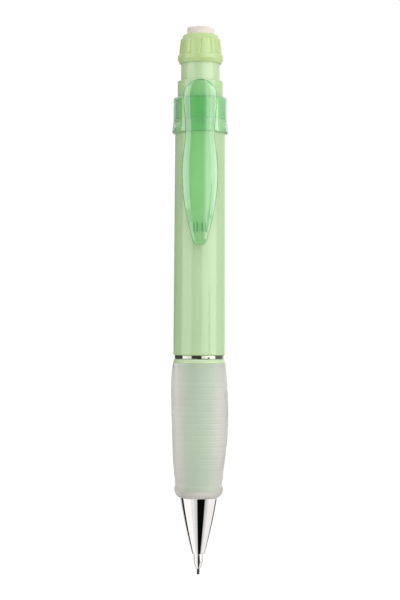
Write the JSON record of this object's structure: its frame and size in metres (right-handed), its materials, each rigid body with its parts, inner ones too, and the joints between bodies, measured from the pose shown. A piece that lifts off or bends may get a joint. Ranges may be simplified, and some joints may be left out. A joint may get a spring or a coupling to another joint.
{
  "type": "mechanical pencil",
  "caption": "Push-button mechanical pencil with a leaf-shaped pocket clip, a soft ringed grip, a chrome tip and a ribbed knob that twists a long eraser in and out.",
  "frame": {"origin": "the writing point, at the end of the lead", "axes": "+Z along the pencil's axis from the lead to the eraser, -Y towards the clip, +X to the right when the clip faces the viewer"},
  "size_m": [0.0146, 0.0167, 0.14],
  "materials": {
    "mint_plastic": "glossy moulded",
    "knob_plastic": "satin moulded",
    "clear_green": "clear tinted, glossy",
    "soft_grip": "frosted, satin",
    "bright_chrome": "polished",
    "clutch_brass": "turned",
    "spring_steel": "drawn wire",
    "white_plastic": "moulded",
    "eraser_vinyl": "matte",
    "lead_graphite": "matte grey",
    "black_rubber": "matte"
  },
  "bodies": {
    "barrel_unit": {"tip_cone": "bright_chrome", "nose_sleeve": "bright_chrome", "lead_retainer": "black_rubber", "grip_sleeve": "soft_grip", "front_barrel": "mint_plastic", "trim_ring": "bright_chrome", "barrel": "mint_plastic", "clip_collar": "clear_green", "clutch_sleeve": "clutch_brass"},
    "clip": {"clip_arm": "clear_green"},
    "lead_stick": {"lead": "lead_graphite"},
    "clutch": {"clutch_ring": "clutch_brass"},
    "feed_unit": {"chuck_stem": "clutch_brass", "chuck_coupling": "white_plastic", "lead_tube": "white_plastic", "spare_leads": "lead_graphite", "return_spring": "spring_steel"},
    "jaw_1": {"chuck_jaw_1": "clutch_brass"},
    "jaw_2": {"chuck_jaw_2": "clutch_brass"},
    "jaw_3": {"chuck_jaw_3": "clutch_brass"},
    "eraser_unit": {"push_tube": "mint_plastic", "tube_plug": "white_plastic"},
    "knob": {"twist_knob": "knob_plastic", "spiral_sleeve": "white_plastic"},
    "eraser_stick": {"eraser": "eraser_vinyl", "eraser_holder": "white_plastic"}
  },
  "joints": [
    {"name": "knock", "type": "slide", "parent": "barrel_unit", "child": "feed_unit", "axis": [0, 0, -1], "range_m": [0, 0.004], "stiffness_N_per_m": 900, "springref_m": -0.003, "deforming": ["return_spring"]},
    {"name": "clutch_slide", "type": "slide", "parent": "barrel_unit", "child": "clutch", "axis": [0, 0, -1], "range_m": [0, 0.00165]},
    {"name": "jaw_1_open", "type": "hinge", "parent": "feed_unit", "child": "jaw_1", "pos_m": [0.0012, 0, 0.024], "axis": [0, -1, 0], "range_deg": [0, 1.2]},
    {"name": "jaw_2_open", "type": "hinge", "parent": "feed_unit", "child": "jaw_2", "pos_m": [-0.0006, 0.00104, 0.024], "axis": [0.866, 0.5, 0], "range_deg": [0, 1.2]},
    {"name": "jaw_3_open", "type": "hinge", "parent": "feed_unit", "child": "jaw_3", "pos_m": [-0.0006, -0.00104, 0.024], "axis": [-0.866, 0.5, 0], "range_deg": [0, 1.2]},
    {"name": "refill_pull", "type": "slide", "parent": "feed_unit", "child": "eraser_unit", "axis": [0, 0, 1], "range_m": [0, 0.045]},
    {"name": "knob_turn", "type": "hinge", "parent": "eraser_unit", "child": "knob", "pos_m": [0, 0, 0.13065], "axis": [0, 0, -1], "range_deg": [-69, 486.6]},
    {"name": "eraser_feed", "type": "slide", "parent": "eraser_unit", "child": "eraser_stick", "axis": [0, 0, 1], "range_m": [-0.0019, 0.0135]},
    {"name": "lead_feed", "type": "slide", "parent": "barrel_unit", "child": "lead_stick", "axis": [0, 0, -1], "range_m": [-0.00155, 0.01]},
    {"name": "clip_flex", "type": "hinge", "parent": "barrel_unit", "child": "clip", "pos_m": [0, -0.00724, 0.12145], "axis": [-1, 0, 0], "range_deg": [0, 4], "stiffness_Nm_per_rad": 1.5, "springref_deg": -2.86}
  ],
  "couplings": [
    {"joint": "clutch_slide", "follows": "knock", "ratio": 0.4},
    {"joint": "jaw_1_open", "follows": "knock", "rad_per_m": 4.8},
    {"joint": "jaw_2_open", "follows": "knock", "rad_per_m": 4.8},
    {"joint": "jaw_3_open", "follows": "knock", "rad_per_m": 4.8},
    {"joint": "knob_turn", "follows": "eraser_feed", "rad_per_m": 628.32}
  ]
}
